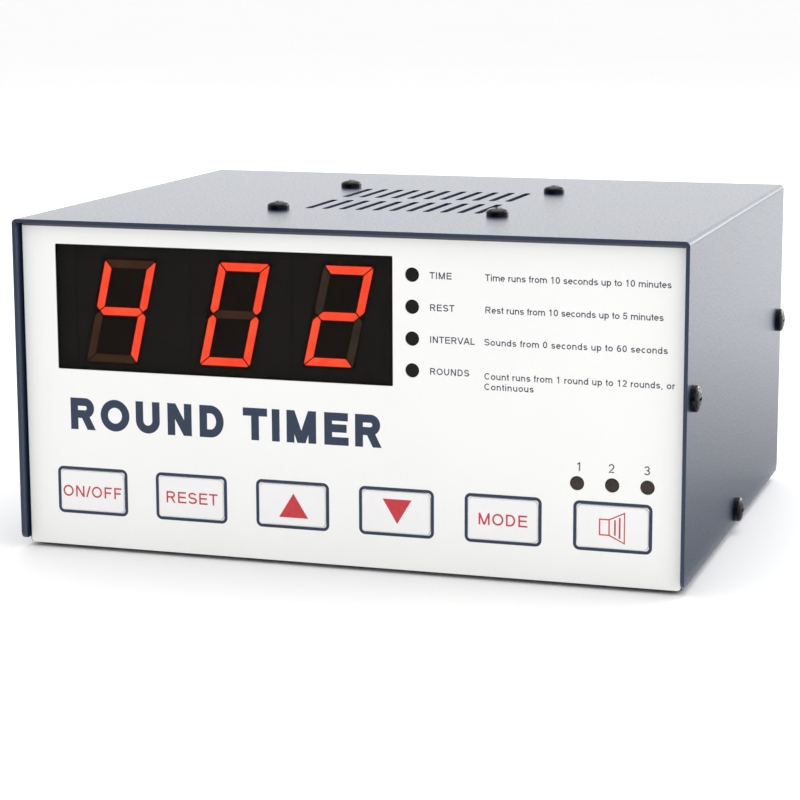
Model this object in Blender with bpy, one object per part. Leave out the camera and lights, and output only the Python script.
"""Gym round timer: a bench-top box of folded sheet steel with a printed front panel.

Run in Blender 4.5. Metres, +Z up, the front panel faces -Y, and the origin is on the
table under the middle of the box. Sizes follow from the driving dimensions below.
"""

import math

import bmesh
import bpy
from mathutils import Vector

# ---- driving dimensions of the case ----
WIDTH = 0.254
DEPTH = 0.205
CASE_HEIGHT = 0.124
FOOT_HEIGHT = 0.0010
SHEET = 0.0014
BEND_RADIUS = 0.0018
PANEL_RECESS = 0.0038
GAP = 0.0003
SEAM = 0.00015
SCREW_SEAT = 0.0001

FRONT = -DEPTH / 2
BACK = DEPTH / 2
CASE_BOTTOM = FOOT_HEIGHT
CASE_TOP = CASE_BOTTOM + CASE_HEIGHT
COVER_BOTTOM = CASE_BOTTOM + 0.0023
INNER_TOP = CASE_TOP - SHEET - GAP
TRAY_HALF_WIDTH = WIDTH / 2 - SHEET - GAP

# ---- front panel, from front to back ----
OVERLAY_THICKNESS = 0.0005
OVERLAY_FRONT = FRONT + PANEL_RECESS
OVERLAY_BACK = OVERLAY_FRONT + OVERLAY_THICKNESS
PANEL_FRONT = OVERLAY_BACK + GAP
PANEL_BACK = PANEL_FRONT + SHEET
REAR_PANEL_OUTER = BACK - PANEL_RECESS
REAR_PANEL_INNER = REAR_PANEL_OUTER - SHEET
BOARD_FRONT = PANEL_BACK + 0.0113
BOARD_THICKNESS = 0.0016
BOARD_BACK = BOARD_FRONT + BOARD_THICKNESS

# ---- front overlay and what shows through it ----
OVERLAY_SIDES = (-0.1246, 0.1251)
OVERLAY_BOTTOM = CASE_BOTTOM + 0.0006
OVERLAY_CORNER = 0.0012
WINDOW_CENTRE = (-0.04585, CASE_BOTTOM + 0.09145)
WINDOW_SIZE = (0.1312, 0.0469)
WINDOW_THICKNESS = 0.0018
DIGIT_CENTRES_X = (-0.0867, -0.0414, -0.0016)
DIGIT_CENTRE_Z = CASE_BOTTOM + 0.0908
DIGIT_SIZE = (0.037, 0.0485)
DIGIT_FACE = PANEL_BACK + 0.0005
LED_HOLE_DIAMETER = 0.0052
MODE_LED_X = 0.0270
MODE_LED_TOP_Z = CASE_BOTTOM + 0.1085
MODE_LED_PITCH = 0.01145
LEVEL_LED_X = 0.0876
LEVEL_LED_PITCH = 0.0126
LEVEL_LED_Z = CASE_BOTTOM + 0.0369

# ---- keys ----
KEY_NAMES = ("on_off", "reset", "up", "down", "mode", "volume")
KEY_FIRST_X = -0.0987
KEY_PITCH = 0.03985
KEY_Z = CASE_BOTTOM + 0.02185
KEY_SIZE = (0.0257, 0.0152)
KEY_CORNER = 0.0018
KEY_THICKNESS = 0.0007
KEY_PROUD = 0.0006
SWITCH_SIZE = 0.012
SWITCH_HEIGHT = 0.004
PLUNGER_RADIUS = 0.0032

# ---- speaker, hung under the top ----
SPEAKER_Y = -0.0012
SPEAKER_TOP = INNER_TOP
SPEAKER_FRAME = 0.102
SPEAKER_HOLE_HALF = 0.0433
SLOTS_PER_ROW = 11
SLOT_PITCH = 0.00672
SLOT_LENGTH = 0.0330
SLOT_WIDTH = 0.0028
SLOT_ROW_Y = 0.0221

# ---- fasteners and feet ----
SIDE_SCREW_Z = CASE_BOTTOM + 0.0683
SIDE_SCREW_INSET = 0.0094
BASE_SCREW_Z = CASE_BOTTOM + 0.0080
SCREW_HOLE_RADIUS = 0.0023
BOARD_SCREW_X = 0.1180
BOARD_SCREW_ZS = (CASE_BOTTOM + 0.0105, CASE_BOTTOM + 0.1151)
FOOT_X = 0.108
FOOT_Y = 0.0835
JACK_X = -0.095
JACK_Z = CASE_BOTTOM + 0.022

CUT_MARGIN = 0.005


# ---- materials ----
def make_material(name, colour, roughness, metallic=0.0, alpha=1.0):
    material = bpy.data.materials.new(name)
    material.use_nodes = True
    shader = material.node_tree.nodes["Principled BSDF"]
    shader.inputs["Base Color"].default_value = (*colour, 1.0)
    shader.inputs["Roughness"].default_value = roughness
    shader.inputs["Metallic"].default_value = metallic
    shader.inputs["Alpha"].default_value = alpha
    material.diffuse_color = (*colour, alpha)
    return material


# ---- outlines and meshes ----
def arc(centre, radius, start, end, steps):
    """Points of an arc, angles in degrees, both ends included."""
    angles = [math.radians(start + (end - start) * i / steps) for i in range(steps + 1)]
    return [
        (centre[0] + radius * math.cos(a), centre[1] + radius * math.sin(a))
        for a in angles
    ]


def circle(centre, radius, steps=24):
    return arc(centre, radius, 0, 360, steps)[:-1]


def rounded_rectangle(centre, size, radius, steps=4):
    half_w, half_h = size[0] / 2 - radius, size[1] / 2 - radius
    outline = []
    for i, (sx, sy) in enumerate(((1, 1), (-1, 1), (-1, -1), (1, -1))):
        corner = (centre[0] + sx * half_w, centre[1] + sy * half_h)
        outline += arc(corner, radius, 90 * i, 90 * i + 90, steps)
    return outline


def oblong(centre, length, width, steps=6):
    """A slot with round ends that runs along the second axis."""
    reach = (length - width) / 2
    far = arc((centre[0], centre[1] + reach), width / 2, 0, 180, steps)
    near = arc((centre[0], centre[1] - reach), width / 2, 180, 360, steps)
    return far + near


def to_mesh(name, bm):
    bmesh.ops.recalc_face_normals(bm, faces=bm.faces)
    mesh = bpy.data.meshes.new(name)
    bm.to_mesh(mesh)
    bm.free()
    mesh.shade_smooth()
    mesh.set_sharp_from_angle(angle=math.radians(32))
    return mesh


AXIS_PLACES = {
    "X": lambda u, v, w: (w, u, v),
    "Y": lambda u, v, w: (u, w, v),
    "Z": lambda u, v, w: (u, v, w),
}


def add_prism(bm, outline, axis, low, high):
    """Extrudes an outline, drawn in the two axes other than `axis`, from low to high."""
    place = AXIS_PLACES[axis]
    face = bm.faces.new([bm.verts.new(place(u, v, low)) for u, v in outline])
    extruded = bmesh.ops.extrude_face_region(bm, geom=[face])
    top = [v for v in extruded["geom"] if isinstance(v, bmesh.types.BMVert)]
    step = Vector(place(0, 0, high)) - Vector(place(0, 0, low))
    bmesh.ops.translate(bm, verts=top, vec=step)


def prism_mesh(name, prisms):
    """A mesh of one or more prisms, each (outline, axis, low, high)."""
    bm = bmesh.new()
    for prism in prisms:
        add_prism(bm, *prism)
    return to_mesh(name, bm)


def turned_mesh(name, profile, steps, closed=False):
    """A profile of (radius, height) points spun about Z; closed for a ring."""
    bm = bmesh.new()
    points = [bm.verts.new((r, 0, h)) for r, h in profile]
    ends = points[1:] + points[:1] if closed else points[1:]
    edges = [bm.edges.new(pair) for pair in zip(points, ends)]
    bmesh.ops.spin(
        bm, geom=points + edges, cent=(0, 0, 0), axis=(0, 0, 1),
        angle=2 * math.pi, steps=steps, use_merge=True,
    )
    bmesh.ops.remove_doubles(bm, verts=bm.verts, dist=1e-7)
    return to_mesh(name, bm)


# ---- objects ----
TOWARDS = {
    "+Z": (0, 0, 0),
    "-Y": (math.pi / 2, 0, 0),
    "+Y": (-math.pi / 2, 0, 0),
    "+X": (0, math.pi / 2, 0),
    "-X": (0, -math.pi / 2, 0),
}


def add_object(name, mesh, material, location=(0, 0, 0), towards="+Z"):
    """Places a mesh; `towards` is where its own +Z points."""
    if not mesh.materials:
        mesh.materials.append(material)
    obj = bpy.data.objects.new(name, mesh)
    obj.location = location
    obj.rotation_euler = TOWARDS[towards]
    bpy.context.scene.collection.objects.link(obj)
    return obj


def add_helper(name, mesh):
    helper = bpy.data.objects.new(name, mesh)
    helper.hide_render = True
    helper.display_type = "WIRE"
    bpy.context.scene.collection.objects.link(helper)
    return helper


def combine(obj, operation, prisms):
    """Unites an object with a set of prisms, or cuts them from it."""
    helper = add_helper(
        f"{obj.name}_{operation.lower()}", prism_mesh(f"{obj.name}_tool", prisms)
    )
    helper.location = obj.location
    helper.rotation_euler = obj.rotation_euler
    boolean = obj.modifiers.new(operation.title(), "BOOLEAN")
    boolean.operation = operation
    boolean.solver = "EXACT"
    boolean.use_self = operation == "UNION"
    boolean.object = helper


def screw_mesh(name, head_radius, head_height, shank_radius, shank_length):
    """A pan-head screw with its seat at z = 0 and the head above."""
    rim = head_height * 0.5
    dome = [
        (head_radius * math.sin(a), rim + (head_height - rim) * math.cos(a))
        for a in (math.radians(15 * i) for i in range(0, 7))
    ]
    profile = dome + [
        (head_radius, 0),
        (shank_radius, 0),
        (shank_radius, -shank_length + 0.0006),
        (shank_radius - 0.0006, -shank_length),
        (0, -shank_length),
    ]
    return turned_mesh(name, profile, 20)


def cross_recess(head_radius, head_height):
    """The cross of a screw's drive recess."""
    reach, half = head_radius * 0.46, head_radius * 0.09
    arm = [(half, -half), (reach, -half), (reach, half)]
    turns = ((1, 0), (0, 1), (-1, 0), (0, -1))
    cross = [(c * u - s * v, s * u + c * v) for c, s in turns for u, v in arm]
    return [(cross, "Z", head_height * 0.45, head_height + 0.001)]


def add_screw(name, mesh, head, material, location, towards):
    screw = add_object(name, mesh, material, location, towards)
    combine(screw, "DIFFERENCE", cross_recess(*head))


# ---- places that several parts share ----
def led_places():
    """Each LED's name and its (x, z) centre on the panel."""
    places = {}
    for row, name in enumerate(("time", "rest", "interval", "rounds")):
        places[f"led_{name}"] = (MODE_LED_X, MODE_LED_TOP_Z - row * MODE_LED_PITCH)
    for level in range(3):
        x = LEVEL_LED_X + level * LEVEL_LED_PITCH
        places[f"led_level_{level + 1}"] = (x, LEVEL_LED_Z)
    return places


def key_places():
    return {
        name: (KEY_FIRST_X + i * KEY_PITCH, KEY_Z) for i, name in enumerate(KEY_NAMES)
    }


def side_screw_places():
    """The (y, z) places of the screws in one side of the cover."""
    return {
        "front": (FRONT + SIDE_SCREW_INSET, SIDE_SCREW_Z),
        "rear": (BACK - SIDE_SCREW_INSET, SIDE_SCREW_Z),
        "base": (0.0, BASE_SCREW_Z),
    }


def speaker_screw_places():
    return [
        (sx * SPEAKER_HOLE_HALF, SPEAKER_Y + sy * SPEAKER_HOLE_HALF)
        for sy in (-1, 1)
        for sx in (-1, 1)
    ]


def board_screw_places():
    return [(sx * BOARD_SCREW_X, z) for z in BOARD_SCREW_ZS for sx in (-1, 1)]


def foot_places():
    return [(sx * FOOT_X, sy * FOOT_Y) for sy in (-1, 1) for sx in (-1, 1)]


# ---- case ----
def cover_outline():
    """The inverted U of the cover, seen from the front."""
    outer, inner = BEND_RADIUS, BEND_RADIUS - SHEET
    half, top = WIDTH / 2, CASE_TOP
    bend = half - outer, top - outer
    outside = [(half, COVER_BOTTOM)] + arc(bend, outer, 0, 90, 5)
    outside += arc((-bend[0], bend[1]), outer, 90, 180, 5) + [(-half, COVER_BOTTOM)]
    inside = [(-half + SHEET, COVER_BOTTOM)]
    inside += arc((-bend[0], bend[1]), inner, 180, 90, 2)
    inside += arc(bend, inner, 90, 0, 2) + [(half - SHEET, COVER_BOTTOM)]
    return outside + inside


def corner_cut(end, sign):
    """What is cut from the cover's lower corner at one end to round it."""
    radius, beyond = 0.003, 0.002
    y, z = end - sign * radius, COVER_BOTTOM + radius
    round_part = arc((y, z), radius, 270, 360 if sign > 0 else 180, 5)
    return round_part + [
        (end + sign * beyond, z),
        (end + sign * beyond, COVER_BOTTOM - beyond),
        (y, COVER_BOTTOM - beyond),
    ]


def make_top_cover(material):
    mesh = prism_mesh("top_cover", [(cover_outline(), "Y", FRONT, BACK)])
    cover = add_object("top_cover", mesh, material)
    half, margin = WIDTH / 2, CUT_MARGIN
    cuts = []
    for row in (-1, 1):
        for i in range(SLOTS_PER_ROW):
            x = (i - (SLOTS_PER_ROW - 1) / 2) * SLOT_PITCH
            slot = oblong(
                (x, row * SLOT_ROW_Y), SLOT_LENGTH, SLOT_WIDTH
            )
            cuts.append((slot, "Z", CASE_TOP - margin, CASE_TOP + margin))
    for place in speaker_screw_places():
        hole = circle(place, SCREW_HOLE_RADIUS, 16)
        cuts.append((hole, "Z", CASE_TOP - margin, CASE_TOP + margin))
    for place in side_screw_places().values():
        hole = circle(place, SCREW_HOLE_RADIUS, 16)
        for low, high in ((-half - margin, -half + margin), (half - margin, half + margin)):
            cuts.append((hole, "X", low, high))
    for end, sign in ((FRONT, -1), (BACK, 1)):
        cuts.append((corner_cut(end, sign), "X", -half - margin, half + margin))
    combine(cover, "DIFFERENCE", cuts)


def tray_outline():
    """The U of the tray, seen from the side: front panel, base and rear panel."""
    radius = 0.0022
    inner = radius - SHEET
    low = CASE_BOTTOM + radius
    front_bend = (PANEL_FRONT + radius, low)
    rear_bend = (REAR_PANEL_OUTER - radius, low)
    outside = [(PANEL_FRONT, INNER_TOP)] + arc(front_bend, radius, 180, 270, 4)
    outside += arc(rear_bend, radius, 270, 360, 4) + [(REAR_PANEL_OUTER, INNER_TOP)]
    inside = [(REAR_PANEL_INNER, INNER_TOP)] + arc(rear_bend, inner, 360, 270, 4)
    inside += arc(front_bend, inner, 270, 180, 4) + [(PANEL_BACK, INNER_TOP)]
    return outside + inside


def rectangle(low, high):
    return [(low[0], low[1]), (high[0], low[1]), (high[0], high[1]), (low[0], high[1])]


def tray_additions():
    """Screw flanges, stiffening returns and board standoffs, united with the tray."""
    reach, relief, bite = 0.0165, 0.020, 0.0007
    prisms = []
    for side in (-1, 1):
        edges = sorted((side * TRAY_HALF_WIDTH, side * (TRAY_HALF_WIDTH - SHEET)))
        front = rectangle(
            (PANEL_FRONT + bite, CASE_BOTTOM + relief), (PANEL_FRONT + reach, INNER_TOP)
        )
        rear = rectangle(
            (REAR_PANEL_OUTER - reach, CASE_BOTTOM + relief),
            (REAR_PANEL_OUTER - bite, INNER_TOP),
        )
        base = rectangle(
            (FRONT + relief, CASE_BOTTOM + bite),
            (BACK - relief, CASE_BOTTOM + reach),
        )
        prisms += [(outline, "X", *edges) for outline in (front, rear, base)]
    half = TRAY_HALF_WIDTH - relief / 2
    for low, high in (
        (PANEL_FRONT + bite, PANEL_FRONT + 0.009),
        (REAR_PANEL_OUTER - 0.009, REAR_PANEL_OUTER - bite),
    ):
        lip = rectangle((-half, INNER_TOP - SHEET), (half, INNER_TOP))
        prisms.append((lip, "Y", low, high))
    for place in board_screw_places():
        standoff = circle(place, 0.003, 16)
        prisms.append((standoff, "Y", PANEL_BACK - bite, BOARD_FRONT - GAP))
    return prisms


def tray_cuts():
    margin = CUT_MARGIN
    panel = ("Y", PANEL_FRONT - margin, PANEL_BACK + 0.002)
    window = (WINDOW_SIZE[0] + 0.001, WINDOW_SIZE[1] + 0.001)
    cuts = [(rounded_rectangle(WINDOW_CENTRE, window, 0.001, 2), *panel)]
    cuts += [(circle(place, 0.0029, 20), *panel) for place in led_places().values()]
    cuts += [(circle(place, 0.0043, 20), *panel) for place in key_places().values()]
    for place in board_screw_places():
        cuts.append((circle(place, 0.0018, 12), "Y", PANEL_BACK + 0.0025, BOARD_FRONT + margin))
    for place in side_screw_places().values():
        hole = circle(place, SCREW_HOLE_RADIUS, 16)
        for side in (-1, 1):
            edges = sorted((side * (TRAY_HALF_WIDTH - margin), side * (TRAY_HALF_WIDTH + margin)))
            cuts.append((hole, "X", *edges))
    for place in foot_places():
        cuts.append((circle(place, 0.0025, 16), "Z", 0.0, CASE_BOTTOM + margin))
    jack = circle((JACK_X, JACK_Z), 0.0045, 20)
    cuts.append((jack, "Y", REAR_PANEL_INNER - margin, REAR_PANEL_OUTER + margin))
    return cuts


def make_chassis_tray(material):
    width = (-TRAY_HALF_WIDTH, TRAY_HALF_WIDTH)
    mesh = prism_mesh("chassis_tray", [(tray_outline(), "X", *width)])
    tray = add_object("chassis_tray", mesh, material)
    combine(tray, "UNION", tray_additions())
    combine(tray, "DIFFERENCE", tray_cuts())


# ---- front panel pieces ----
def make_front_overlay(material):
    (left, right), bottom, top = OVERLAY_SIDES, OVERLAY_BOTTOM, INNER_TOP
    centre = ((left + right) / 2, (bottom + top) / 2)
    size = (right - left, top - bottom)
    outline = rounded_rectangle(centre, size, OVERLAY_CORNER)
    mesh = prism_mesh("front_overlay", [(outline, "Y", OVERLAY_FRONT, OVERLAY_BACK)])
    overlay = add_object("front_overlay", mesh, material)
    through = ("Y", OVERLAY_FRONT - CUT_MARGIN, OVERLAY_BACK + CUT_MARGIN)
    cuts = [(rounded_rectangle(WINDOW_CENTRE, WINDOW_SIZE, 0.0004, 2), *through)]
    cuts += [(circle(place, LED_HOLE_DIAMETER / 2), *through) for place in led_places().values()]
    key_hole = (KEY_SIZE[0] + 2 * SEAM, KEY_SIZE[1] + 2 * SEAM)
    for place in key_places().values():
        outline = rounded_rectangle(place, key_hole, KEY_CORNER + SEAM)
        cuts.append((outline, *through))
    combine(overlay, "DIFFERENCE", cuts)


def make_display_window(material):
    size = (WINDOW_SIZE[0] - 2 * SEAM, WINDOW_SIZE[1] - 2 * SEAM)
    outline = rounded_rectangle(WINDOW_CENTRE, size, 0.0003, 2)
    back = OVERLAY_FRONT + WINDOW_THICKNESS
    mesh = prism_mesh("display_window", [(outline, "Y", OVERLAY_FRONT, back)])
    add_object("display_window", mesh, material)


def make_digits(material):
    half_w, half_h = DIGIT_SIZE[0] / 2, DIGIT_SIZE[1] / 2
    outline = rectangle((-half_w, -half_h), (half_w, half_h))
    depth = BOARD_FRONT - GAP - DIGIT_FACE
    mesh = prism_mesh("digit_module", [(outline, "Y", 0.0, depth)])
    for name, x in zip(("minutes", "tens", "seconds"), DIGIT_CENTRES_X):
        add_object(f"digit_{name}", mesh, material, (x, DIGIT_FACE, DIGIT_CENTRE_Z))


def make_leds(material):
    """Flat-topped indicator LEDs, each standing on its spacer on the board."""
    tip = BOARD_FRONT - GAP - (OVERLAY_FRONT + 0.0001)
    radius, flange, spacer = LED_HOLE_DIAMETER / 2 - 0.0001, 0.0028, 0.0022
    profile = [
        (0, tip),
        (radius - 0.0003, tip),
        (radius, tip - 0.0003),
        (radius, 0.0048),
        (flange, 0.0048),
        (flange, 0.0038),
        (spacer, 0.0038),
        (spacer, 0),
        (0, 0),
    ]
    mesh = turned_mesh("indicator_led", profile, 20)
    for name, (x, z) in led_places().items():
        add_object(name, mesh, material, (x, BOARD_FRONT - GAP, z), "-Y")


def key_mesh():
    """An embossed key pad, origin on its axis at the back face, front towards -Y."""
    bm = bmesh.new()
    outline = rounded_rectangle((0, 0), KEY_SIZE, KEY_CORNER)
    add_prism(bm, outline, "Y", -KEY_THICKNESS, 0.0)
    edge = [
        e for e in bm.edges if all(v.co.y < -KEY_THICKNESS / 2 for v in e.verts)
    ]
    bmesh.ops.bevel(bm, geom=edge, offset=0.00035, segments=2, affect="EDGES")
    return to_mesh("key_pad", bm)


def make_keys(key_material, body_material, plunger_material):
    """Six keys: the pad, the tact switch behind it, and that switch's plunger."""
    pad = key_mesh()
    pad_back = OVERLAY_FRONT - KEY_PROUD + KEY_THICKNESS
    half = SWITCH_SIZE / 2
    front = BOARD_FRONT - GAP - SWITCH_HEIGHT
    square = rectangle((-half, -half), (half, half))
    body = prism_mesh("switch_body", [(square, "Y", 0.0, SWITCH_HEIGHT)])
    plunger_base = BOARD_FRONT - GAP - 0.0013
    plunger_length = plunger_base - (pad_back + GAP)
    radius = PLUNGER_RADIUS
    plunger_profile = [
        (0, plunger_length),
        (radius - 0.0003, plunger_length),
        (radius, plunger_length - 0.0003),
        (radius, 0),
        (0, 0),
    ]
    plunger = turned_mesh("switch_plunger", plunger_profile, 16)
    for name, (x, z) in key_places().items():
        add_object(f"key_{name}", pad, key_material, (x, pad_back, z))
        switch = add_object(f"switch_{name}", body, body_material, (x, front, z))
        bore = circle((0, 0), radius + GAP, 16)
        combine(switch, "DIFFERENCE", [(bore, "Y", -CUT_MARGIN, SWITCH_HEIGHT - 0.0005)])
        place = (x, plunger_base, z)
        add_object(f"plunger_{name}", plunger, plunger_material, place, "-Y")


def make_control_board(material):
    half = BOARD_SCREW_X + 0.0045
    low, high = BOARD_SCREW_ZS[0] - 0.0045, BOARD_SCREW_ZS[1] + 0.0045
    outline = rectangle((-half, low), (half, high))
    mesh = prism_mesh("control_board", [(outline, "Y", BOARD_FRONT, BOARD_BACK)])
    board = add_object("control_board", mesh, material)
    holes = [circle(place, 0.0018, 12) for place in board_screw_places()]
    span = (BOARD_FRONT - CUT_MARGIN, BOARD_BACK + CUT_MARGIN)
    combine(board, "DIFFERENCE", [(hole, "Y", *span) for hole in holes])


# ---- speaker: heights are measured down from the face of its frame ----
def basket_profile():
    return [
        (0.0440, 0.0),
        (0.0500, 0.0),
        (0.0500, -0.0015),
        (0.0470, -0.0015),
        (0.0470, -0.0060),
        (0.0300, -0.0240),
        (0.0300, -0.0270),
        (0.0130, -0.0270),
        (0.0130, -0.0255),
        (0.0285, -0.0255),
        (0.0285, -0.0235),
        (0.0455, -0.0055),
        (0.0455, -0.0030),
        (0.0440, -0.0030),
    ]


def make_speaker_basket(material):
    location = (0, SPEAKER_Y, SPEAKER_TOP)
    mesh = turned_mesh("speaker_basket", basket_profile(), 40, closed=True)
    basket = add_object("speaker_basket", mesh, material, location)
    frame = rounded_rectangle((0, 0), (SPEAKER_FRAME, SPEAKER_FRAME), 0.008)
    combine(basket, "UNION", [(frame, "Z", -0.0014, -0.0001)])
    cuts = [(circle((0, 0), 0.0440, 40), "Z", -0.0020, 0.001)]
    for sx in (-1, 1):
        for sy in (-1, 1):
            place = (sx * SPEAKER_HOLE_HALF, sy * SPEAKER_HOLE_HALF)
            cuts.append((circle(place, SCREW_HOLE_RADIUS, 16), "Z", -0.004, 0.002))
    half, near, far = 0.015, 0.025, 0.053
    for sign in (-1, 1):
        along_x = rectangle(*sorted(((sign * near, -half), (sign * far, half))))
        ends = sorted((sign * near, sign * far))
        along_y = rectangle((-half, ends[0]), (half, ends[1]))
        cuts += [(along_x, "Z", -0.0215, -0.0080), (along_y, "Z", -0.0215, -0.0080)]
    combine(basket, "DIFFERENCE", cuts)


def make_speaker_motor(plate_material, magnet_material):
    location = (0, SPEAKER_Y, SPEAKER_TOP)
    plate = [(0.0115, -0.0273), (0.0300, -0.0273), (0.0300, -0.0313), (0.0115, -0.0313)]
    ring = [(0.0160, -0.0316), (0.0350, -0.0316), (0.0350, -0.0446), (0.0160, -0.0446)]
    yoke = [
        (0, -0.0273),
        (0.0095, -0.0273),
        (0.0095, -0.0449),
        (0.0300, -0.0449),
        (0.0300, -0.0489),
        (0, -0.0489),
    ]
    for name, profile, material, closed in (
        ("speaker_top_plate", plate, plate_material, True),
        ("speaker_magnet", ring, magnet_material, True),
        ("speaker_yoke", yoke, plate_material, False),
    ):
        add_object(name, turned_mesh(name, profile, 36, closed), material, location)


def cone_profile():
    """Dust cap, cone and surround in front, and the coil former behind."""
    skin = 0.0008
    dome = [(0.0, -0.0150), (0.0050, -0.0155), (0.0100, -0.0169), (0.0145, -0.0191)]
    roll = [
        (0.0405 + 0.0030 * math.cos(a), -0.0045 + 0.0022 * math.sin(a))
        for a in (math.radians(180 - 30 * i) for i in range(7))
    ]
    roll_back = [(r, z - skin) for r, z in reversed(roll)]
    former = [
        (0.0108, -0.0227),
        (0.0108, -0.0330),
        (0.0101, -0.0330),
        (0.0101, -0.0178),
        (0.0050, -0.0163),
        (0.0, -0.0158),
    ]
    return dome + roll + roll_back + former


def make_speaker_cone(material):
    mesh = turned_mesh("speaker_cone", cone_profile(), 40)
    add_object("speaker_cone", mesh, material, (0, SPEAKER_Y, SPEAKER_TOP))


# ---- fasteners, feet, power inlet and leads ----
def make_screws(material):
    speaker_head, side_head, board_head = (0.0042, 0.0031), (0.00475, 0.0030), (0.0028, 0.0020)
    speaker = screw_mesh("speaker_screw", *speaker_head, 0.0019, 0.010)
    for i, (x, y) in enumerate(speaker_screw_places(), 1):
        place = (x, y, CASE_TOP + SCREW_SEAT)
        add_screw(f"speaker_screw_{i}", speaker, speaker_head, material, place, "+Z")
    side = screw_mesh("side_screw", *side_head, 0.0019, 0.008)
    for hand, sign, towards in (("left", -1, "-X"), ("right", 1, "+X")):
        for name, (y, z) in side_screw_places().items():
            place = (sign * (WIDTH / 2 + SCREW_SEAT), y, z)
            add_screw(f"side_screw_{hand}_{name}", side, side_head, material, place, towards)
    board = screw_mesh("board_screw", *board_head, 0.0015, 0.008)
    for i, (x, z) in enumerate(board_screw_places(), 1):
        place = (x, BOARD_BACK + GAP, z)
        add_screw(f"board_screw_{i}", board, board_head, material, place, "+Y")


def make_feet(material):
    """Push-in rubber feet: pad, neck through the tray, and a barb inside."""
    pad_top, radius = CASE_BOTTOM - SCREW_SEAT, 0.0070
    inside = CASE_BOTTOM + SHEET + GAP
    profile = [
        (0, inside + 0.0030),
        (0.0014, inside + 0.0030),
        (0.0031, inside),
        (0.0022, inside),
        (0.0022, pad_top),
        (radius, pad_top),
        (radius - 0.0003, 0.0004),
        (radius - 0.0011, 0),
        (0, 0),
    ]
    mesh = turned_mesh("rubber_foot", profile, 24)
    for name, (x, y) in zip(
        ("front_left", "front_right", "rear_left", "rear_right"), foot_places()
    ):
        add_object(f"foot_{name}", mesh, material, (x, y, 0))


def make_power_jack(jack_material, nut_material):
    """A barrel socket through the rear panel, its nut inside; z = 0 is the panel's face."""
    flange_front, flange_radius = 0.0022, 0.0060
    profile = [
        (0, 0.0006),
        (0.0010, 0.0002),
        (0.0010, -0.0090),
        (0.0028, -0.0090),
        (0.0028, flange_front),
        (flange_radius - 0.0004, flange_front),
        (flange_radius, flange_front - 0.0004),
        (flange_radius, SCREW_SEAT),
        (0.0040, SCREW_SEAT),
        (0.0040, -0.0120),
        (0, -0.0120),
    ]
    place = (JACK_X, REAR_PANEL_OUTER, JACK_Z)
    add_object("power_jack", turned_mesh("power_jack", profile, 24), jack_material, place, "+Y")
    nut_front = -SHEET - GAP
    hexagon = circle((0, 0), 0.0068, 6)
    nut = prism_mesh("power_jack_nut", [(hexagon, "Z", nut_front - 0.002, nut_front)])
    nut_object = add_object("power_jack_nut", nut, nut_material, place, "+Y")
    combine(nut_object, "DIFFERENCE", [(circle((0, 0), 0.0043, 24), "Z", -0.006, 0.0)])


def smooth_route(points, per_span=8):
    """Points of a Catmull-Rom curve through the route."""
    route = [Vector(p) for p in points]
    route = [2 * route[0] - route[1]] + route + [2 * route[-1] - route[-2]]
    curve = []
    for a, b, c, d in zip(route, route[1:], route[2:], route[3:]):
        for i in range(per_span):
            t = i / per_span
            curve.append(
                0.5 * (2 * b + (c - a) * t + (2 * a - 5 * b + 4 * c - d) * t * t
                       + (3 * b - a - 3 * c + d) * t**3)
            )
    return curve + [route[-2]]


def make_lead(name, route, radius, material):
    curve = bpy.data.curves.new(name, "CURVE")
    curve.dimensions = "3D"
    curve.bevel_depth = radius
    curve.bevel_resolution = 2
    curve.use_fill_caps = True
    points = smooth_route(route)
    spline = curve.splines.new("POLY")
    spline.points.add(len(points) - 1)
    for slot, point in zip(spline.points, points):
        slot.co = (*point, 1.0)
    curve.materials.append(material)
    bpy.context.scene.collection.objects.link(bpy.data.objects.new(name, curve))


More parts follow.
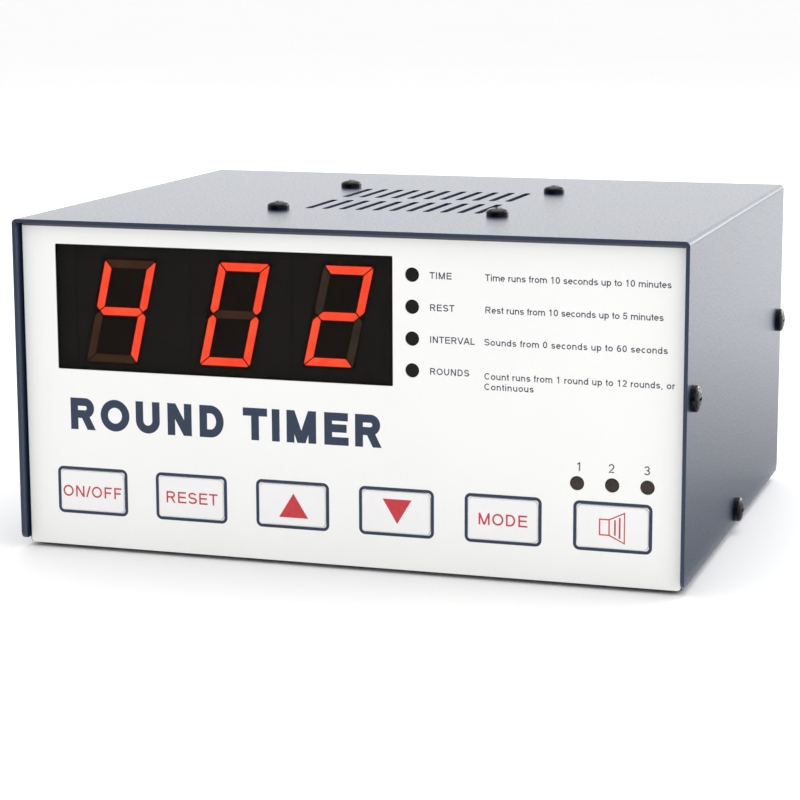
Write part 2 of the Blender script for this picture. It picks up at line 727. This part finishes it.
def make_leads(material):
    board = BOARD_BACK + 2 * GAP
    speaker_edge = SPEAKER_Y - 0.0350 - 2 * GAP
    make_lead(
        "speaker_lead",
        [
            (0.0, speaker_edge, SPEAKER_TOP - 0.038),
            (0.0, speaker_edge - 0.010, SPEAKER_TOP - 0.039),
            (0.004, speaker_edge - 0.026, SPEAKER_TOP - 0.056),
            (0.004, board + 0.008, SPEAKER_TOP - 0.070),
            (0.004, board, SPEAKER_TOP - 0.070),
        ],
        0.0015,
        material,
    )
    floor = CASE_BOTTOM + SHEET + 0.003
    make_lead(
        "power_lead",
        [
            (JACK_X, REAR_PANEL_OUTER - 0.0120 - 2 * GAP, JACK_Z),
            (JACK_X, REAR_PANEL_OUTER - 0.0220, JACK_Z - 0.001),
            (JACK_X + 0.006, REAR_PANEL_OUTER - 0.0480, floor + 0.002),
            (JACK_X + 0.010, 0.0, floor),
            (JACK_X + 0.006, board + 0.030, floor + 0.004),
            (JACK_X, board + 0.008, CASE_BOTTOM + 0.036),
            (JACK_X, board, CASE_BOTTOM + 0.036),
        ],
        0.0016,
        material,
    )


def main():
    for obj in list(bpy.data.objects):
        bpy.data.objects.remove(obj, do_unlink=True)
    navy = make_material("navy_enamel", (0.028, 0.045, 0.075), 0.42)
    white = make_material("overlay_white", (0.87, 0.87, 0.85), 0.35)
    smoke = make_material("smoked_window", (0.012, 0.010, 0.009), 0.12, alpha=0.4)
    epoxy = make_material("led_epoxy", (0.020, 0.017, 0.014), 0.30)
    black = make_material("black_plastic", (0.015, 0.015, 0.015), 0.45)
    steel = make_material("black_oxide_steel", (0.018, 0.018, 0.020), 0.35, metallic=0.8)
    zinc = make_material("zinc_plate", (0.62, 0.62, 0.60), 0.38, metallic=1.0)
    ferrite = make_material("ferrite", (0.045, 0.045, 0.048), 0.55)
    paper = make_material("cone_paper", (0.030, 0.030, 0.032), 0.85)
    board = make_material("circuit_board", (0.020, 0.120, 0.045), 0.45)
    rubber = make_material("foot_rubber", (0.012, 0.012, 0.013), 0.75)
    jacket = make_material("lead_jacket", (0.020, 0.020, 0.022), 0.55)
    make_top_cover(navy)
    make_chassis_tray(navy)
    make_front_overlay(white)
    make_display_window(smoke)
    make_digits(black)
    make_leds(epoxy)
    make_keys(white, black, black)
    make_control_board(board)
    make_speaker_basket(zinc)
    make_speaker_motor(zinc, ferrite)
    make_speaker_cone(paper)
    make_screws(steel)
    make_feet(rubber)
    make_power_jack(black, zinc)
    make_leads(jacket)


main()
